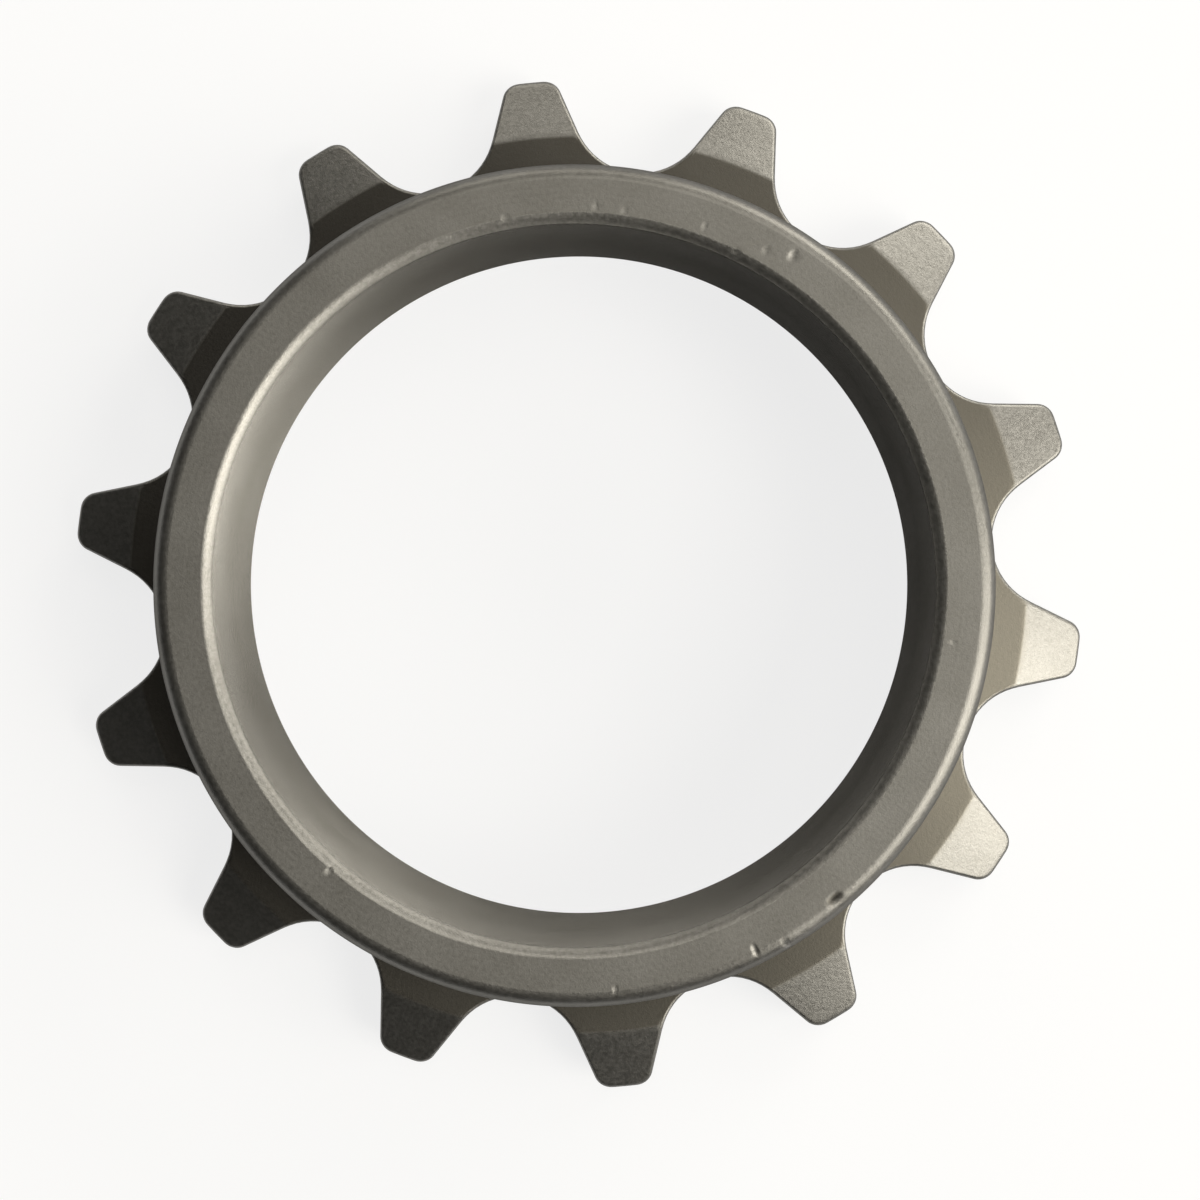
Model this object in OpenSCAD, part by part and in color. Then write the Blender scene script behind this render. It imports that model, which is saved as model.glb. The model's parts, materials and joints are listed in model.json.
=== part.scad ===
// One-piece camshaft sprocket for a simplex roller chain: a toothed flange with a plain
// collar on one side and a straight bore through both.
// The back of the flange lies on the plane z = 0 and the bore runs along z.

/* [Chain] */
// Distance between two roller centres of the chain
chain_pitch = 8; // [7.5:0.125:12.7]
// Diameter of a chain roller
roller_d = 5; // [4:0.05:5.4]

/* [Teeth] */
// Number of teeth
teeth = 14; // [13:1:30]
// Width of the toothed flange at its flat sides
flange_w = 3; // [2:0.1:6]
// Room between a roller and its seat, on the radius
seat_play = 0.025; // [0:0.005:0.1]
// Angle over which the seat follows the roller
seat_angle = 119; // [112:1:134]
// Height of the tooth tips above the pitch circle
tip_rise = 0.9; // [0.6:0.05:1.5]
// Radius on the corners of a tooth tip
tip_round = 0.65; // [0.2:0.05:0.8]
// Height of the side bevels, from their start up to the tip
bevel_h = 2.25; // [1:0.05:3]
// Depth of each side bevel at the tip
bevel_depth = 0.8; // [0.2:0.05:0.9]

/* [Collar] */
// Diameter of the bore
bore_d = 25; // [18:0.1:26]
// Wall between the bore and the outside of the collar
collar_wall = 2.1; // [1.2:0.1:2.6]
// Height of the collar above the flange
collar_h = 7; // [3:0.25:15]
// Radius on the outer edge of the collar
collar_round = 0.55; // [0.2:0.05:1]
// Fillet between the collar and the flange
collar_fillet = 0.5; // [0.2:0.05:0.8]
// Chamfer on the bore's edge at the collar
front_chamfer = 0.35; // [0.1:0.05:0.7]
// Chamfer on the bore's edge at the back of the flange
back_chamfer = 0.35; // [0.1:0.05:0.7]

/* [Hidden] */
$fn = 128;

// Length by which a cutting shape runs past the face that it cuts
overrun = 1;

// Sizes along the axis
total_h = flange_w + collar_h;

// Radii about the axis
bore_r = bore_d / 2;
collar_r = bore_r + collar_wall;
pitch_r = chain_pitch / (2 * sin(180 / teeth));
tip_r = pitch_r + tip_rise;
bevel_start_r = tip_r - bevel_h;

// One tooth space, drawn with its centre line along x: the roller seat is an arc about the
// roller's centre, and a straight flank leaves it at each end of the seat angle.
seat_r = roller_d / 2 + seat_play;
seat_centre = [pitch_r, 0];
half_seat = seat_angle / 2;
flank_along = [sin(half_seat), cos(half_seat)];
flank_normal = [-cos(half_seat), sin(half_seat)];
flank_start = seat_centre + seat_r * flank_normal;
flank_end = flank_start + flank_along * (tip_r + overrun - flank_start.x) / flank_along.x;

// Centre of a tip corner's arc, which crosses the flank and the tip circle by a hair so that
// it meets both in a clean edge
hair = 0.006;
arc_inset = tip_round - hair;
arc_from = seat_centre + (seat_r + arc_inset) * flank_normal;
arc_orbit = tip_r - arc_inset;
arc_back = arc_from * flank_along;
arc_shift = sqrt(arc_back * arc_back + arc_orbit * arc_orbit - arc_from * arc_from) - arc_back;
arc_centre = arc_from + arc_shift * flank_along;

// The waste outside a tip corner's arc
module tip_corner_waste() {
    difference() {
        polygon([
            arc_centre,
            arc_centre - 2 * tip_round * flank_normal,
            flank_end - tip_round * flank_normal,
            arc_centre * (tip_r + overrun) / arc_orbit
        ]);
        translate(arc_centre) circle(r = tip_round);
    }
}

// Outline of the waste between two teeth
module tooth_space() {
    translate(seat_centre) circle(r = seat_r);
    polygon([
        flank_start,
        flank_end,
        [flank_end.x, -flank_end.y],
        [flank_start.x, -flank_start.y]
    ]);
    tip_corner_waste();
    mirror([0, 1]) tip_corner_waste();
}

// Turned blank of the flange, bevelled towards the tips on both sides
module flange_blank() {
    rotate_extrude()
        polygon([
            [0, 0],
            [bevel_start_r, 0],
            [tip_r, bevel_depth],
            [tip_r, flange_w - bevel_depth],
            [bevel_start_r, flange_w],
            [0, flange_w]
        ]);
}

// Flange with its teeth cut, a tooth space on the x axis
module toothed_flange() {
    difference() {
        flange_blank();
        for (i = [0 : teeth - 1])
            rotate(i * 360 / teeth)
                translate([0, 0, -overrun])
                    linear_extrude(flange_w + 2 * overrun)
                        tooth_space();
    }
}

// Section of the collar, with its round outer edge and the fillet at its foot
module collar_section() {
    difference() {
        translate([0, flange_w / 2])
            square([collar_r, total_h - flange_w / 2]);
        translate([collar_r - collar_round, total_h - collar_round])
            difference() {
                square(collar_round + overrun);
                circle(r = collar_round);
            }
    }
    difference() {
        translate([collar_r - collar_fillet, flange_w - collar_fillet])
            square(2 * collar_fillet);
        translate([collar_r + collar_fillet, flange_w + collar_fillet])
            circle(r = collar_fillet);
    }
}

module collar() {
    rotate_extrude() collar_section();
}

// Straight bore with a chamfer at each end
module bore() {
    translate([0, 0, -overrun])
        cylinder(r = bore_r, h = total_h + 2 * overrun);
    translate([0, 0, -overrun])
        cylinder(
            r1 = bore_r + back_chamfer + overrun,
            r2 = bore_r,
            h = back_chamfer + overrun
        );
    translate([0, 0, total_h - front_chamfer])
        cylinder(
            r1 = bore_r,
            r2 = bore_r + front_chamfer + overrun,
            h = front_chamfer + overrun
        );
}

module sprocket() {
    color("#8a877f")
        difference() {
            union() {
                toothed_flange();
                collar();
            }
            bore();
        }
}

sprocket();
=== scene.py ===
"""Looks of the camshaft sprocket: a detailed mesh, a worn steel finish with painted light and shade, a pale
floor, light and camera.
"""
import json
import math

import bpy
import numpy as np
from mathutils import Matrix, Vector


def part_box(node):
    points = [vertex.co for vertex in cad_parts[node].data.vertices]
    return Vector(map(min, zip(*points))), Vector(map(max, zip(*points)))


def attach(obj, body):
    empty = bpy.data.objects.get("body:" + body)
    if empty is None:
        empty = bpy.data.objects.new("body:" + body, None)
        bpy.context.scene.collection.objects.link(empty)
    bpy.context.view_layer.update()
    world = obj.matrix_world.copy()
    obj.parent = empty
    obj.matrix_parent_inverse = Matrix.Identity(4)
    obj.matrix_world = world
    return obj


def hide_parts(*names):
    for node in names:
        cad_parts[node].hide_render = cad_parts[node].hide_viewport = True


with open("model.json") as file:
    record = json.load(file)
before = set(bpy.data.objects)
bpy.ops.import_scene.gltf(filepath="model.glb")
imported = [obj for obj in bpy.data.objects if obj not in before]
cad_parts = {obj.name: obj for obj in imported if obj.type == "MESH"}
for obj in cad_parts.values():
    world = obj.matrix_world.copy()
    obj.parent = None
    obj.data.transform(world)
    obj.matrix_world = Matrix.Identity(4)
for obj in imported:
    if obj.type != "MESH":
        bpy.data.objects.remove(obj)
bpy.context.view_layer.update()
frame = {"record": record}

MM = 0.001
PER_MM = 1 / MM

# Sizes that the frame gives, in metres. A tooth stands on the Y axis and a tooth space on the X axis.
mounts = {mount["name"]: mount["dims"] for mount in frame["record"]["mounts"]}
lowest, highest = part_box("sprocket")
TOTAL_H = highest[2]
TIP_R = highest[1]
BORE_R = mounts["bore"]["r_mm"] * MM
PITCH_R = mounts["teeth"]["pcd_mm"] / 2 * MM
TEETH = mounts["teeth"]["count"]

# Sizes of the flange and its teeth, in metres
FLANGE_W = 3.0 * MM
SEAT_R = 2.525 * MM
TIP_ROUND = 0.65 * MM
BEVEL_H = 2.25 * MM
BEVEL_DEPTH = 0.8 * MM
BEVEL_START_R = TIP_R - BEVEL_H

# Half of the angle over which a seat follows its roller
HALF_SEAT = math.radians(59.5)

# Small trim of the teeth, in metres: their broken edges, the soft crease where a bevel starts and the room
# that it leaves to an edge, the reach of the brown film past the crease and the width over which it fades,
# and the gap to the fillet at the collar's foot
EDGE_ROUND = 0.12 * MM
CREASE_SOFT = 0.05 * MM
CREASE_ROOM = 0.11 * MM
FILM_REACH = 0.08 * MM
FILM_FADE = 0.11 * MM
FOOT_GAP = 0.015 * MM

# Sizes of the collar and the bore, in metres
COLLAR_WALL = 2.1 * MM
COLLAR_R = BORE_R + COLLAR_WALL
COLLAR_ROUND = 0.55 * MM
COLLAR_FILLET = 0.5 * MM
CHAMFER = 0.35 * MM
CORNER_SOFT = 0.07 * MM

# The worn slope at the bore's mouth, in metres: the width by which it starts outside the bore, the radius of
# its curve, the depth where it has bent into the wall, the depth where the wear and the painted light on the
# wall end, and its waviness
MOUTH_EDGE = 0.37 * MM
MOUTH_ROUND = 0.95 * MM
MOUTH_END = 0.9 * MM
WORN_AND_LIT_DEPTH = 5.0 * MM
RIPPLE = 0.025 * MM

# Tilt of the worn slope against the collar's face, at its start and its end, in degrees
MOUTH_TILTS = (12.0, 36.0)

# Waves of the slope's outer edge: share of the waviness, number round the ring, and phase in radians
RIPPLE_WAVES = ((0.45, 5, 0.6), (0.3, 13, 2.1), (0.25, 29, 4.0))

# How finely the mesh is divided
SEAT_STEPS = 10
FLANK_STEPS = 6
CORNER_STEPS = 7
TIP_STEPS = 4
EDGE_STEPS = 4
ROUND_STEPS = 7
SOFT_STEPS = 4
NICK_STEPS = 4

# Angle on each side of a nick in which the mesh is finer
NICK_REACH = math.radians(1.3)

# Where rows of the mesh lie on the stretches of the section, as shares of a stretch
FLAT_SHARES = (0.0, 0.15, 0.55, 0.92)
BEVEL_SHARES = (0.1, 0.35, 0.65, 0.95, 1.0)
WALL_SHARES = (0.03, 0.3, 0.7, 0.97)
FACE_SHARES = np.linspace(0.03, 0.97, 15)
MOUTH_SHARES = (0.0, 0.15, 0.3, 0.45, 0.6, 0.75, 0.9, 0.98, 1.0)
BEND_SHARES = (0.15, 0.35, 0.6, 1.0)
BORE_SHARES = (0.0, 0.4, 0.97)

# Roughness of the surfaces, and the power by which the worn slope's roughness rises to the bore's
ROUGH_FACE = 0.54
ROUGH_BEVEL = 0.40
ROUGH_EDGE = 0.42
ROUGH_MOUTH = 0.40
ROUGH_BORE = 0.7
ROUGH_RISE = 4

# How worn the surfaces are, from 0 to 1. In the bore the wear is partly painted light, rising towards the
# mouth where low light falls only on the wall's upper part.
WEAR_BEVEL = 0.3
WEAR_EDGE = 0.25
WEAR_MOUTH = 0.5
BORE_WEAR_AND_LIGHT = 0.4
BORE_LIGHT_RISE = 0.3
WEAR_BACK = 0.1

# How stained the walls are, and how dark the stain in the bore is, from 0 to 1. The bore's stain below its
# upper wall is partly painted shade.
STAIN_WALL = 0.3
BORE_STAIN_AND_SHADE = 0.25
BORE_FILM_AND_SHADE = 0.8

# The brown film on the flats is painted lightest at this angle in the photo, in degrees, and painted darker
# as shade away from it. A part of this painted light spreads towards that side all round the ring, and the
# rest is a painted highlight close to the angle only.
LIT_TURN = 345.0
SIDE_LIGHT = 0.4
LIT_PEAK = 0.6
LIT_PEAK_POWER = 16

# The camera, in metres, with x to the right and y up in the photo and z along the bore. The part is turned in
# the photo by PHOTO_TURN. The lens and the sensor are in mm.
PHOTO_TURN = math.radians(5.35)
CAMERA_AT = Vector((1.83, 0.44, 100.8)) * MM
CAMERA_AIM = Vector((0.84, -0.54, 3.0)) * MM
CLIP_START = 5 * MM
LENS = 79.07
SENSOR = 36.0

# Nicks on the collar's face: angle in the photo in degrees, then radius, length along the ring, width and
# depth in mm, then shine from -1 for a dark nick to 1 for a bright one
NICKS = (
    (56.5, 13.65, 0.30, 0.50, 0.045, 0.8),
    (60.2, 13.31, 0.30, 0.35, 0.020, 0.3),
    (64.0, 12.80, 0.40, 0.25, 0.020, 0.3),
    (70.0, 13.19, 0.25, 0.35, 0.015, 0.4),
    (82.3, 13.05, 0.25, 0.30, 0.015, 0.4),
    (86.7, 13.10, 0.25, 0.30, 0.015, 0.4),
    (100.5, 12.90, 0.35, 0.25, 0.015, 0.4),
    (229.3, 12.95, 0.30, 0.35, 0.030, 0.9),
    (275.9, 13.97, 0.25, 0.25, 0.020, 0.6),
    (296.5, 14.00, 0.28, 0.40, 0.040, 1.0),
    (300.8, 14.36, 0.36, 0.30, 0.040, 1.0),
    (303.5, 14.28, 3.20, 0.28, 0.015, 0.7),
    (309.9, 14.00, 0.65, 0.26, 0.070, -1.0),
    (351.6, 13.20, 0.22, 0.22, 0.020, 0.5),
)


def from_photo(vector):
    """A point or direction given along the photo's axes, in the part's own axes."""
    return Matrix.Rotation(-PHOTO_TURN, 3, "Z") @ Vector(vector)


def turn_between(angles, degrees):
    """How far angles lie from an angle in the photo, in radians from minus pi to pi."""
    away = angles + PHOTO_TURN - math.radians(degrees)
    return (away + math.pi) % (2 * math.pi) - math.pi


# The tooth outline

def arc(centre, radius, start, end, steps):
    """Points of an arc, without its last one, and their directions from the centre."""
    angles = np.linspace(start, end, steps + 1)[:-1]
    away = np.stack([np.cos(angles), np.sin(angles)], axis=1)
    return centre + radius * away, away


def half_space():
    """Half of a tooth space on the X axis, from the middle of its seat to the middle of a tooth tip.

    Returns the points, without the tip's middle, and their normals out of the steel."""
    seat_centre = np.array([PITCH_R, 0.0])
    along = np.array([math.sin(HALF_SEAT), math.cos(HALF_SEAT)])
    inward = np.array([-math.cos(HALF_SEAT), math.sin(HALF_SEAT)])
    corner_from = seat_centre + (SEAT_R + TIP_ROUND) * inward
    orbit = TIP_R - TIP_ROUND
    back = corner_from @ along
    shift = math.sqrt(back ** 2 + orbit ** 2 - corner_from @ corner_from) - back
    corner_centre = corner_from + shift * along
    corner_turn = math.atan2(corner_centre[1], corner_centre[0])

    seat, seat_away = arc(seat_centre, SEAT_R, math.pi, math.pi - HALF_SEAT, SEAT_STEPS)
    flank_start = seat_centre + SEAT_R * inward
    shares = np.linspace(0, 1, FLANK_STEPS + 1)[:-1, None]
    flank = flank_start + shares * shift * along
    corner, corner_away = arc(corner_centre, TIP_ROUND, -HALF_SEAT, corner_turn, CORNER_STEPS)
    tip, tip_away = arc(np.zeros(2), TIP_R, corner_turn, math.pi / TEETH, TIP_STEPS)

    points = np.concatenate([seat, flank, corner, tip])
    normals = np.concatenate([-seat_away, np.tile(-inward, (FLANK_STEPS, 1)), corner_away, tip_away])
    return points, normals


def turned(vectors, angle):
    """Flat vectors turned counterclockwise by an angle in radians."""
    c, s = math.cos(angle), math.sin(angle)
    return vectors @ np.array([[c, s], [-s, c]])


def tooth_outline():
    """The whole outline of the teeth, counterclockwise, with its normals."""
    points, normals = half_space()
    tip_middle = turned(np.array([[TIP_R, 0.0]]), -math.pi / TEETH)
    mirror = np.array([1.0, -1.0])
    pitch_points = np.concatenate([tip_middle, (points * mirror)[:0:-1], points])
    pitch_normals = np.concatenate([tip_middle / TIP_R, (normals * mirror)[:0:-1], normals])
    angles = [2 * math.pi * k / TEETH for k in range(TEETH)]
    all_points = np.concatenate([turned(pitch_points, a) for a in angles])
    all_normals = np.concatenate([turned(pitch_normals, a) for a in angles])
    return all_points, all_normals


def refined(points, normals):
    """The outline with more points at the angles of the nicks."""
    angles = np.arctan2(points[:, 1], points[:, 0])
    near = np.min([np.abs(turn_between(angles, nick[0])) for nick in NICKS], axis=0) < NICK_REACH
    both = np.concatenate([points, normals], axis=1)
    steps = np.roll(both, -1, axis=0) - both
    pieces = []
    for start, step, fine in zip(both, steps, near):
        count = NICK_STEPS if fine else 1
        pieces.append(start + np.arange(count)[:, None] / count * step)
    both = np.concatenate(pieces)
    normals = both[:, 2:] / np.linalg.norm(both[:, 2:], axis=1, keepdims=True)
    return both[:, :2], normals


OUTLINE, OUTLINE_NORMALS = refined(*tooth_outline())
ANGLES = np.arctan2(OUTLINE[:, 1], OUTLINE[:, 0])
SPOKES = np.stack([np.cos(ANGLES), np.sin(ANGLES)], axis=1)

# How dark the brown film is round the ring, from 0 to 1: painted shade away from the lamps, painted light
# towards them
LIT_SIDE = 0.5 + 0.5 * np.cos(turn_between(ANGLES, LIT_TURN))
FILM_AND_SHADE = 1 - SIDE_LIGHT * LIT_SIDE - LIT_PEAK * LIT_SIDE ** LIT_PEAK_POWER


# Rows of the mesh. Each row is a ring of points with the finish of each point: how worn and how stained it is
# and how dark its stain is, all from 0 to 1, with painted light in the wear and painted shade in the stain,
# and its roughness.

def ring(flat, z, wear=0.0, stain=0.0, film=FILM_AND_SHADE, rough=ROUGH_FACE):
    """A row at flat places and a height, with its finish and its painted light and shade."""
    count = len(OUTLINE)
    places = np.column_stack([flat, np.broadcast_to(z, count)])
    finish_and_light = {"wear": wear, "stain": stain, "film": film, "rough": rough}
    return places, {name: np.broadcast_to(value, count) for name, value in finish_and_light.items()}


def round_ring(radius, z, **finish_and_light):
    """A row at a radius and a height, with its finish and its painted light and shade."""
    return ring(SPOKES * np.reshape(radius, (-1, 1)), z, **finish_and_light)


def bevel_drop(radius):
    """How far the side of a tooth lies below the flat of the flange, with a soft start."""
    past = radius - BEVEL_START_R
    eased = np.clip(past + CREASE_SOFT, 0, 2 * CREASE_SOFT) ** 2 / (4 * CREASE_SOFT)
    return np.where(past > CREASE_SOFT, past, eased) * BEVEL_DEPTH / BEVEL_H


def side_stations(base_r, inset_r):
    """Radii of the rows on one side of the flange, from a circle over the crease to the broken edge."""
    crease_r = np.minimum(BEVEL_START_R, inset_r - CREASE_ROOM)
    flat_end, bevel_start = crease_r - CREASE_SOFT, crease_r + CREASE_SOFT
    stations = [base_r + share * (flat_end - base_r) for share in FLAT_SHARES]
    stations += [flat_end, crease_r, bevel_start]
    return stations + [bevel_start + share * (inset_r - bevel_start) for share in BEVEL_SHARES]


def edge_rows(face_z, up):
    """Rows round the broken edge of the teeth on one side of the flange."""
    rows = []
    for step in range(1, EDGE_STEPS + 1):
        turn = math.pi / 2 * step / EDGE_STEPS
        flat = OUTLINE - EDGE_ROUND * (1 - math.sin(turn)) * OUTLINE_NORMALS
        drop = bevel_drop(np.linalg.norm(flat, axis=1)) + EDGE_ROUND * (1 - math.cos(turn))
        rows.append(ring(flat, face_z - up * drop, wear=WEAR_EDGE * math.sin(2 * turn), rough=ROUGH_BEVEL))
    return rows


def flange_side(base_r, face_z, up):
    """Rows of one side of the flange, from a circle out to the teeth and round their edge.

    up is 1 for the side that faces up and -1 for the other."""
    base = SPOKES * base_r
    inset = OUTLINE - EDGE_ROUND * OUTLINE_NORMALS
    inset_r = np.linalg.norm(inset, axis=1)
    rows = []
    for radius in side_stations(base_r, inset_r):
        share = (radius - base_r) / (inset_r - base_r)
        flat = base + share[:, None] * (inset - base)
        reach = np.linalg.norm(flat, axis=1)
        flatness = np.clip((BEVEL_START_R + FILM_REACH - reach) / FILM_FADE, 0, 1)
        rough = ROUGH_BEVEL + flatness * (ROUGH_FACE - ROUGH_BEVEL)
        wear = WEAR_BEVEL * (1 - flatness)
        rows.append(ring(flat, face_z - up * bevel_drop(reach), wear=wear, stain=flatness, rough=rough))
    return rows + edge_rows(face_z, up)


def flank_rows(lower, upper):
    """Rows on the flanks between the two sides' last rows."""
    low_z, high_z = lower[0][:, 2], upper[0][:, 2]
    return [ring(OUTLINE, low_z + share * (high_z - low_z), stain=STAIN_WALL) for share in WALL_SHARES]


def section_arc(centre_r, centre_z, radius, start, end, **finish_and_light):
    """Rows round an arc of the section, between two angles in degrees."""
    angles = np.radians(np.linspace(start, end, ROUND_STEPS + 1))
    return [
        round_ring(centre_r + radius * math.cos(angle), centre_z + radius * math.sin(angle), **finish_and_light)
        for angle in angles
    ]


def straight(start, end, shares, **finish_and_light):
    """Rows on a straight stretch of the section, at shares of its length."""
    start, end = np.array(start), np.array(end)
    return [round_ring(*(start + share * (end - start)), **finish_and_light) for share in shares]


def bend(start, corner, end, share):
    """A point at a share of the curve that leaves start towards the corner and bends round to the end."""
    start, corner, end = (np.array(point) for point in (start, corner, end))
    return (1 - share) ** 2 * start + 2 * share * (1 - share) * corner + share ** 2 * end


def soft_corner(before, corner, after, **finish_and_light):
    """Rows round a corner of the section that is broken by a small curve."""
    before, corner, after = (np.array(point) for point in (before, corner, after))
    start = corner + CORNER_SOFT * (before - corner) / np.linalg.norm(before - corner)
    end = corner + CORNER_SOFT * (after - corner) / np.linalg.norm(after - corner)
    shares = np.linspace(0, 1, SOFT_STEPS + 1)
    return [round_ring(*bend(start, corner, end, share), **finish_and_light) for share in shares]


def collar_rows():
    """Rows from the foot of the collar up to the worn slope's edge on its face."""
    top, foot_r = TOTAL_H, COLLAR_R + COLLAR_FILLET
    wall_low, wall_high = (COLLAR_R, FLANGE_W + COLLAR_FILLET), (COLLAR_R, top - COLLAR_ROUND)
    face_out, face_in = (COLLAR_R - COLLAR_ROUND, top), (BORE_R + MOUTH_EDGE, top)
    rows = section_arc(foot_r, FLANGE_W + COLLAR_FILLET, COLLAR_FILLET, -90, -180, stain=1.0)
    rows += straight(wall_low, wall_high, WALL_SHARES, stain=STAIN_WALL)
    rows += section_arc(face_out[0], wall_high[1], COLLAR_ROUND, 0, 90, rough=ROUGH_EDGE)
    return rows + straight(face_out, face_in, FACE_SHARES)


def ripple():
    """A small waviness round the ring, as an edge broken by hand has."""
    return sum(size * np.sin(waves * ANGLES + phase) for size, waves, phase in RIPPLE_WAVES)


def mouth_rows():
    """Rows of the worn slope from the collar's face into the bore, a little uneven at its outer edge."""
    first, last = (math.radians(tilt) for tilt in MOUTH_TILTS)
    rows = []
    for share in MOUTH_SHARES:
        tilt = first + share * (last - first)
        inward = MOUTH_ROUND * (math.sin(tilt) - math.sin(first))
        down = MOUTH_ROUND * (math.cos(first) - math.cos(tilt))
        radius = BORE_R + MOUTH_EDGE - inward + (1 - share) * RIPPLE * ripple()
        rough = ROUGH_MOUTH + share ** ROUGH_RISE * (ROUGH_BORE - ROUGH_MOUTH)
        rows.append(round_ring(radius, TOTAL_H - down, wear=WEAR_MOUTH, rough=rough))
    return rows


def bore_rows(start):
    """Rows from the end of the mouth's slope, at a radius and height, to the back of the flange."""
    mouth_end, worn_and_lit_end = (BORE_R, TOTAL_H - MOUTH_END), (BORE_R, TOTAL_H - WORN_AND_LIT_DEPTH)
    bore_low, back_in = (BORE_R, CHAMFER), (BORE_R + CHAMFER, 0.0)
    slope = math.tan(math.radians(MOUTH_TILTS[1]))
    corner = (BORE_R, start[1] - slope * (start[0] - BORE_R))
    rows = []
    # The bend and the wall below it are paler towards the mouth: partly wear, partly painted light.
    for share in BEND_SHARES:
        wear = BORE_WEAR_AND_LIGHT + BORE_LIGHT_RISE * (1 - share)
        rows.append(round_ring(*bend(start, corner, mouth_end, share), wear=wear, rough=ROUGH_BORE))
    # Lower down the wall is stained darker: partly stain, partly painted shade.
    rows += straight(worn_and_lit_end, bore_low, BORE_SHARES, stain=BORE_STAIN_AND_SHADE, film=BORE_FILM_AND_SHADE, rough=ROUGH_BORE)
    rows += soft_corner(worn_and_lit_end, bore_low, back_in, wear=WEAR_BACK, rough=ROUGH_MOUTH)
    return rows + soft_corner(bore_low, back_in, (COLLAR_R, 0.0), wear=WEAR_BACK, rough=ROUGH_MOUTH)


def outer_rows():
    """Rows of the section counterclockwise from the back of the flange to the mouth of the bore."""
    back = flange_side(BORE_R + CHAMFER + 2 * CORNER_SOFT, 0.0, -1)
    front = flange_side(COLLAR_R + COLLAR_FILLET + FOOT_GAP, FLANGE_W, 1)
    return back + flank_rows(back[-1], front[-1]) + front[::-1] + collar_rows() + mouth_rows()


def press_nicks(places, finish_and_light):
    """Presses the nicks into the collar's face. A bright nick is worn and a dark one is stained."""
    angles = np.arctan2(places[..., 1], places[..., 0])
    radii = np.hypot(places[..., 0], places[..., 1])
    upper = places[..., 2] > TOTAL_H - COLLAR_ROUND
    for degrees, radius, length, width, depth, shine in NICKS:
        along = turn_between(angles, degrees) * radius / (length / 2)
        across = (radii / MM - radius) / (width / 2)
        inside = np.clip(1 - along ** 2 - across ** 2, 0, 1) * upper
        places[..., 2] -= depth * MM * inside
        for name in ("wear",) if shine > 0 else ("stain", "film"):
            finish_and_light[name] = np.maximum(finish_and_light[name], abs(shine) * np.sqrt(inside))


def grid_faces(columns, rows):
    """Four-sided faces of a closed ring with a closed section."""
    column, row = np.meshgrid(np.arange(columns), np.arange(rows), indexing="ij")
    next_column, next_row = (column + 1) % columns, (row + 1) % rows
    corners = [
        column * rows + row,
        next_column * rows + row,
        next_column * rows + next_row,
        column * rows + next_row,
    ]
    return np.stack(corners, axis=-1).reshape(-1, 4)


def keep_finish_and_light(mesh, finish_and_light):
    """Keeps the finish and the painted light and shade of each point in the mesh, where the materials read
    them.
    """
    for name, values in finish_and_light.items():
        layer = mesh.attributes.new(name, "FLOAT", "POINT")
        layer.data.foreach_set("value", values.astype(np.float32).ravel())


def sprocket_piece():
    """The whole sprocket as one mesh, with a material of its own in the bore."""
    outside = outer_rows()
    x, y, z = outside[-1][0][0]
    rows = outside + bore_rows((math.hypot(x, y), z))
    places = np.stack([row[0] for row in rows], axis=1)
    finish_and_light = {name: np.stack([row[1][name] for row in rows], axis=1) for name in rows[0][1]}
    press_nicks(places, finish_and_light)
    columns, count = places.shape[:2]
    mesh = bpy.data.meshes.new("sprocket_detail")
    mesh.from_pydata(places.reshape(-1, 3).tolist(), [], grid_faces(columns, count).tolist())
    mesh.shade_smooth()
    mesh.materials.append(steel_material("worn_steel_with_painted_light_and_shade", GRAZING, 0.0))
    mesh.materials.append(steel_material("turned_bore", 0.0, GROOVES))
    in_bore = (np.arange(count) >= len(outside) - 1) & (np.arange(count) < count - 1)
    mesh.polygons.foreach_set("material_index", np.tile(in_bore, columns).astype(np.int32))
    keep_finish_and_light(mesh, finish_and_light)
    piece = bpy.data.objects.new("sprocket_detail", mesh)
    bpy.context.collection.objects.link(piece)
    return piece


# Nodes of the materials

def node(tree, kind, **settings):
    made = tree.nodes.new(kind)
    for name, value in settings.items():
        setattr(made, name, value)
    return made


def set_inputs(made, **values):
    """Sets inputs of a node by their names, with an underscore for each space."""
    for name, value in values.items():
        made.inputs[name.replace("_", " ")].default_value = value


def feed(tree, socket, value):
    """Gives an input a plain value, or the output of another node."""
    if isinstance(value, (int, float, tuple)):
        socket.default_value = value
    else:
        tree.links.new(value, socket)


def noise(tree, where, scale, detail, roughness=0.5):
    made = node(tree, "ShaderNodeTexNoise")
    set_inputs(made, Scale=scale, Detail=detail, Roughness=roughness)
    tree.links.new(where, made.inputs["Vector"])
    return made.outputs["Fac"]


def remap(tree, value, low, high, to_low, to_high):
    """A value between two limits, moved to lie between two others."""
    made = node(tree, "ShaderNodeMapRange")
    set_inputs(made, From_Min=low, From_Max=high, To_Min=to_low, To_Max=to_high)
    tree.links.new(value, made.inputs["Value"])
    return made.outputs["Result"]


def math_node(tree, operation, *values):
    made = node(tree, "ShaderNodeMath", operation=operation)
    for socket, value in zip(made.inputs, values):
        feed(tree, socket, value)
    return made.outputs["Value"]


def weighted(tree, values, weights):
    """The sum of values, each times its weight."""
    total = 0.0
    for value, weight in zip(values, weights):
        total = math_node(tree, "ADD", math_node(tree, "MULTIPLY", value, weight), total)
    return total


# Places of a mix node's sockets for colours, whose names also stand for its other kinds of value
COLOUR_A, COLOUR_B, COLOUR_RESULT = 6, 7, 2


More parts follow.
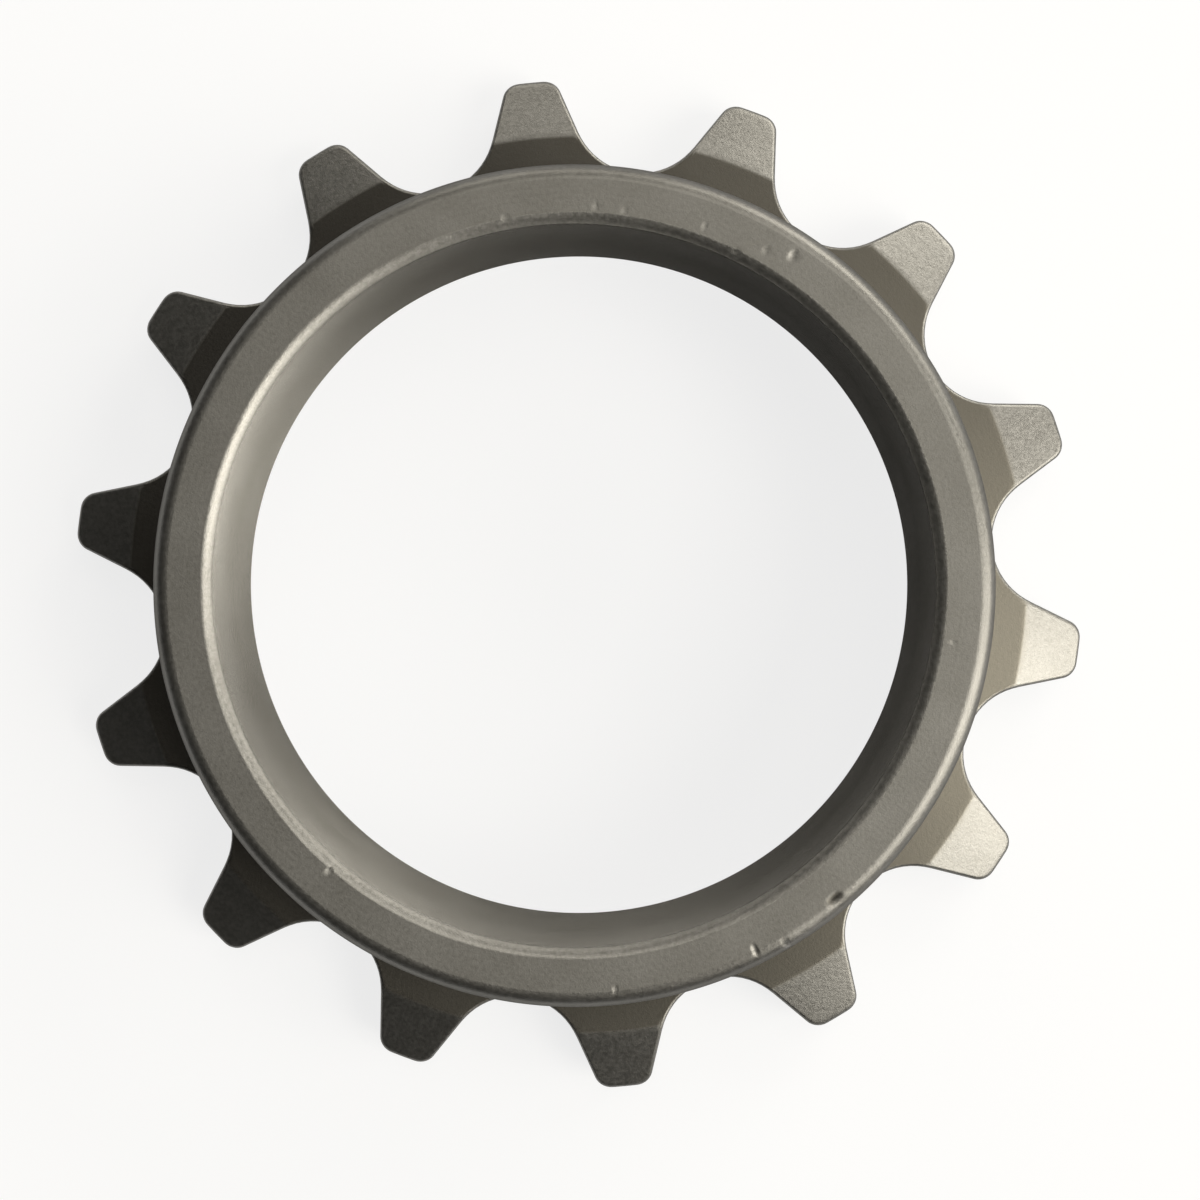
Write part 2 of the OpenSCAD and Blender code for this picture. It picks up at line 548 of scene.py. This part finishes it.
def mix_colour(tree, share, first, second):
    """The first colour at share 0 and the second at share 1."""
    made = node(tree, "ShaderNodeMix", data_type="RGBA")
    feed(tree, made.inputs["Factor"], share)
    feed(tree, made.inputs[COLOUR_A], first)
    feed(tree, made.inputs[COLOUR_B], second)
    return made.outputs[COLOUR_RESULT]


def vertex_value(tree, name):
    return node(tree, "ShaderNodeAttribute", attribute_name=name).outputs["Fac"]


def new_material(name):
    material = bpy.data.materials.new(name)
    material.use_nodes = True
    material.node_tree.nodes.clear()
    return material, material.node_tree


# The steel

# Colours of the steel. The worn colour is also painted light on the bore's upper wall. The pale brown is
# painted light on the flats towards the lamps. The dark brown is painted shade on the far side and deep in
# the bore, and the colour of dark nicks.
STEEL_DARK = (0.18, 0.175, 0.163, 1.0)
STEEL_PALE = (0.24, 0.235, 0.223, 1.0)
STEEL_WORN_AND_LIT = (0.42, 0.41, 0.39, 1.0)
BROWN_PALE = (0.28, 0.262, 0.222, 1.0)
BROWN_DARK = (0.044, 0.041, 0.037, 1.0)
METALLIC = 0.95

# How much the outside mirrors at a grazing angle, how far grooves stretch the bore's gloss, and the quarter
# turn that lays this stretch across grooves round the axis
GRAZING = 0.3
GROOVES = 0.95
GROOVE_TURN = 0.25

# Noise in the steel, with its scale for lengths in metres
CLOUDS = {"scale": 0.4 * PER_MM, "detail": 3.0}
GRAIN = {"scale": 7.0 * PER_MM, "detail": 4.0, "roughness": 0.6}
FINE_GRAIN = {"scale": 18.0 * PER_MM, "detail": 2.0}
LINE_SCALE = 5.0 * PER_MM
LINE_DETAIL = 2.0

# Tone: weights of the clouds, the grain and the lines, and the limits between which it goes from dark to pale
TONE_WEIGHTS = (0.4, 0.5, 0.1)
TONE_LIMITS = (0.36, 0.64)

# Bump: weights of the grain, the fine grain and the lines, its strength, and its height in metres
BUMP_WEIGHTS = (1.0, 0.5, 0.15)
BUMP_STRENGTH = 0.35
BUMP_HEIGHT = 0.02 * MM

# How far a full stain, with its painted shade, covers the steel, from dark to pale tones
STAIN_AND_SHADE_COVER = (1.0, 0.9)

# Wear and the bore's painted light: limits of the grain, and how far full wear clears the surface from the
# low to the high one
WEAR_AND_LIGHT_LIMITS = (0.4, 0.6)
WEAR_AND_LIGHT_COVER = (0.45, 0.8)

# Roughness: limits of the grain, how far grain changes it up or down between them, and how far wear and the
# bore's painted light lower it
ROUGH_LIMITS = (0.3, 0.7)
ROUGH_SPREAD = 0.05
WEAR_AND_LIGHT_GLOSS = 0.08


def turning_lines(tree, place):
    """Faint lines round the axis on the faces and the walls, as a lathe leaves them."""
    parts = node(tree, "ShaderNodeSeparateXYZ")
    tree.links.new(place, parts.inputs["Vector"])
    x, y, z = parts.outputs
    squares = math_node(tree, "ADD", math_node(tree, "MULTIPLY", x, x), math_node(tree, "MULTIPLY", y, y))
    made = node(tree, "ShaderNodeTexNoise", noise_dimensions="1D")
    set_inputs(made, Scale=LINE_SCALE, Detail=LINE_DETAIL)
    tree.links.new(math_node(tree, "ADD", math_node(tree, "SQRT", squares), z), made.inputs["W"])
    return made.outputs["Fac"]


def steel_colour(tree, place, grain, lines, worn_and_lit):
    """Grey steel with faint clouds, brown where it is stained, its brown lighter and darker as painted light
    and shade, and pale where it is worn and where light is painted in the bore.
    """
    clouds = noise(tree, place, **CLOUDS)
    tone = weighted(tree, (clouds, grain, lines), TONE_WEIGHTS)
    steel = mix_colour(tree, remap(tree, tone, *TONE_LIMITS, 0.0, 1.0), STEEL_DARK, STEEL_PALE)
    # The brown is painted lighter towards the lamps and painted darker as shade away from them.
    brown = mix_colour(tree, vertex_value(tree, "film"), BROWN_PALE, BROWN_DARK)
    cover = remap(tree, tone, *TONE_LIMITS, *STAIN_AND_SHADE_COVER)
    stained = math_node(tree, "MULTIPLY", vertex_value(tree, "stain"), cover)
    return mix_colour(tree, worn_and_lit, mix_colour(tree, stained, steel, brown), STEEL_WORN_AND_LIT)


def steel_roughness(tree, grain, worn_and_lit):
    spread = remap(tree, grain, *ROUGH_LIMITS, -ROUGH_SPREAD, ROUGH_SPREAD)
    return weighted(tree, (vertex_value(tree, "rough"), spread, worn_and_lit), (1.0, 1.0, -WEAR_AND_LIGHT_GLOSS))


def steel_bump(tree, place, grain, lines):
    fine_grain = noise(tree, place, **FINE_GRAIN)
    bump = node(tree, "ShaderNodeBump")
    set_inputs(bump, Strength=BUMP_STRENGTH, Distance=BUMP_HEIGHT)
    tree.links.new(weighted(tree, (grain, fine_grain, lines), BUMP_WEIGHTS), bump.inputs["Height"])
    return bump.outputs["Normal"]


def steel_material(name, grazing, grooves):
    """Dull turned steel: fine grain, faint turning lines, a brown film on the flats with painted light and
    shade, bright worn edges and painted light on the bore's upper wall.

    grazing from 0 to 1 is how much it still mirrors at a grazing angle, and grooves from 0 to 1 stretches its
    gloss across turning grooves too fine to see."""
    material, tree = new_material(name)
    place = node(tree, "ShaderNodeTexCoord").outputs["Object"]
    grain = noise(tree, place, **GRAIN)
    lines = turning_lines(tree, place)
    cleared = remap(tree, grain, *WEAR_AND_LIGHT_LIMITS, *WEAR_AND_LIGHT_COVER)
    worn_and_lit = math_node(tree, "MULTIPLY", vertex_value(tree, "wear"), cleared)
    round_axis = node(tree, "ShaderNodeTangent", direction_type="RADIAL", axis="Z")

    shader = node(tree, "ShaderNodeBsdfPrincipled")
    set_inputs(shader, Metallic=METALLIC, Specular_IOR_Level=0.0)
    set_inputs(shader, Specular_Tint=(grazing, grazing, grazing, 1.0))
    set_inputs(shader, Anisotropic=grooves, Anisotropic_Rotation=GROOVE_TURN)
    tree.links.new(round_axis.outputs["Tangent"], shader.inputs["Tangent"])
    tree.links.new(steel_colour(tree, place, grain, lines, worn_and_lit), shader.inputs["Base Color"])
    tree.links.new(steel_roughness(tree, grain, worn_and_lit), shader.inputs["Roughness"])
    tree.links.new(steel_bump(tree, place, grain, lines), shader.inputs["Normal"])
    output = node(tree, "ShaderNodeOutputMaterial")
    tree.links.new(shader.outputs["BSDF"], output.inputs["Surface"])
    return material


# The floor

FLOOR_SIZE = 5.0
FLOOR_GAP = 0.01 * MM
FLOOR_COLOUR = (0.88, 0.88, 0.88, 1.0)

# How far the floor is lifted to white where it is seen, from 0 to 1
FLOOR_LIFT = 0.8


def seen_ray(tree):
    """1 for a ray from the camera, off a glossy surface or through glass, and 0 for diffuse light."""
    path = node(tree, "ShaderNodeLightPath")
    seen = math_node(tree, "MAXIMUM", path.outputs["Is Camera Ray"], path.outputs["Is Glossy Ray"])
    return math_node(tree, "MAXIMUM", seen, path.outputs["Is Transmission Ray"])


def floor_material():
    """Pale floor that keeps a faint shadow and shows close to white."""
    material, tree = new_material("pale_floor")
    diffuse = node(tree, "ShaderNodeBsdfDiffuse")
    set_inputs(diffuse, Color=FLOOR_COLOUR)
    white = node(tree, "ShaderNodeEmission")
    set_inputs(white, Strength=1.0)
    mix = node(tree, "ShaderNodeMixShader")
    tree.links.new(math_node(tree, "MULTIPLY", seen_ray(tree), FLOOR_LIFT), mix.inputs["Fac"])
    tree.links.new(diffuse.outputs["BSDF"], mix.inputs[1])
    tree.links.new(white.outputs["Emission"], mix.inputs[2])
    output = node(tree, "ShaderNodeOutputMaterial")
    tree.links.new(mix.outputs["Shader"], output.inputs["Surface"])
    return material


def add_floor():
    half = FLOOR_SIZE / 2
    z = lowest[2] - FLOOR_GAP
    corners = [(-half, -half, z), (half, -half, z), (half, half, z), (-half, half, z)]
    mesh = bpy.data.meshes.new("floor")
    mesh.from_pydata(corners, [], [(0, 1, 2, 3)])
    mesh.materials.append(floor_material())
    floor = bpy.data.objects.new("floor", mesh)
    bpy.context.collection.objects.link(floor)


# Light and camera

LAMP_DISTANCE = 0.6
LAMP_SIZE = 0.25
LAMP_COLOUR = (1.0, 0.96, 0.86)

# Soft boxes on the right and at the back: name, azimuth in the photo and height in degrees, brightness
LAMPS = (
    ("key", -20.0, 55.0, 8.1),
    ("right_front_low", -20.0, 25.0, 4.6),
    ("right_low", 0.0, 25.0, 4.7),
    ("right_front", -40.0, 40.0, 2.6),
    ("right_back_low", 40.0, 25.0, 4.2),
    ("back_right_low", 60.0, 25.0, 5.4),
    ("back_right_high", 60.0, 70.0, 2.6),
    ("back_low", 100.0, 25.0, 2.7),
    ("back_left_high", 120.0, 70.0, 0.7),
)


def photo_direction(azimuth, elevation):
    """A direction from the part, by its angle in the photo and its height above the floor, in degrees."""
    a, e = math.radians(azimuth), math.radians(elevation)
    return from_photo((math.cos(e) * math.cos(a), math.cos(e) * math.sin(a), math.sin(e)))


def add_lamp(name, azimuth, elevation, radiance):
    """A square soft box that faces the part. radiance is the brightness of its face."""
    data = bpy.data.lights.new(name, "AREA")
    data.shape = "SQUARE"
    data.size = LAMP_SIZE
    data.energy = radiance * math.pi * LAMP_SIZE ** 2
    data.color = LAMP_COLOUR
    lamp = bpy.data.objects.new(name, data)
    towards = photo_direction(azimuth, elevation)
    lamp.location = towards * LAMP_DISTANCE
    lamp.rotation_mode = "QUATERNION"
    lamp.rotation_quaternion = towards.to_track_quat("Z", "Y")
    bpy.context.collection.objects.link(lamp)


# Colours of the room, and the sines of the angles above the horizon where the pale strip ends and the dim sky
# starts
SKY = (0.02, 0.02, 0.02, 1.0)
HORIZON = (0.3, 0.3, 0.3, 1.0)
HORIZON_TOP = 0.06
SKY_FROM = 0.14


def add_world():
    """A dim room with a pale strip along the horizon."""
    world = bpy.data.worlds.new("dim_room")
    bpy.context.scene.world = world
    world.use_nodes = True
    tree = world.node_tree
    tree.nodes.clear()
    way = node(tree, "ShaderNodeTexCoord").outputs["Generated"]
    parts = node(tree, "ShaderNodeSeparateXYZ")
    tree.links.new(way, parts.inputs["Vector"])
    height = remap(tree, parts.outputs["Z"], HORIZON_TOP, SKY_FROM, 0.0, 1.0)
    background = node(tree, "ShaderNodeBackground")
    tree.links.new(mix_colour(tree, height, HORIZON, SKY), background.inputs["Color"])
    output = node(tree, "ShaderNodeOutputWorld")
    tree.links.new(background.outputs["Background"], output.inputs["Surface"])


def add_camera():
    """The photo's camera, level with the photo's own axes."""
    data = bpy.data.cameras.new("camera")
    data.lens = LENS
    data.sensor_width = SENSOR
    data.clip_start = CLIP_START
    data.clip_end = FLOOR_SIZE
    camera = bpy.data.objects.new("camera", data)
    place = from_photo(CAMERA_AT)
    back = (place - from_photo(CAMERA_AIM)).normalized()
    right = from_photo((1.0, 0.0, 0.0))
    up = back.cross(right).normalized()
    right = up.cross(back)
    camera.matrix_world = Matrix.Translation(place) @ Matrix((right, up, back)).transposed().to_4x4()
    bpy.context.collection.objects.link(camera)
    bpy.context.scene.camera = camera


sprocket = sprocket_piece()
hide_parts("sprocket")
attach(sprocket, "root")

add_floor()
add_world()
for lamp in LAMPS:
    add_lamp(*lamp)
add_camera()
bpy.context.scene.view_settings.view_transform = "Standard"
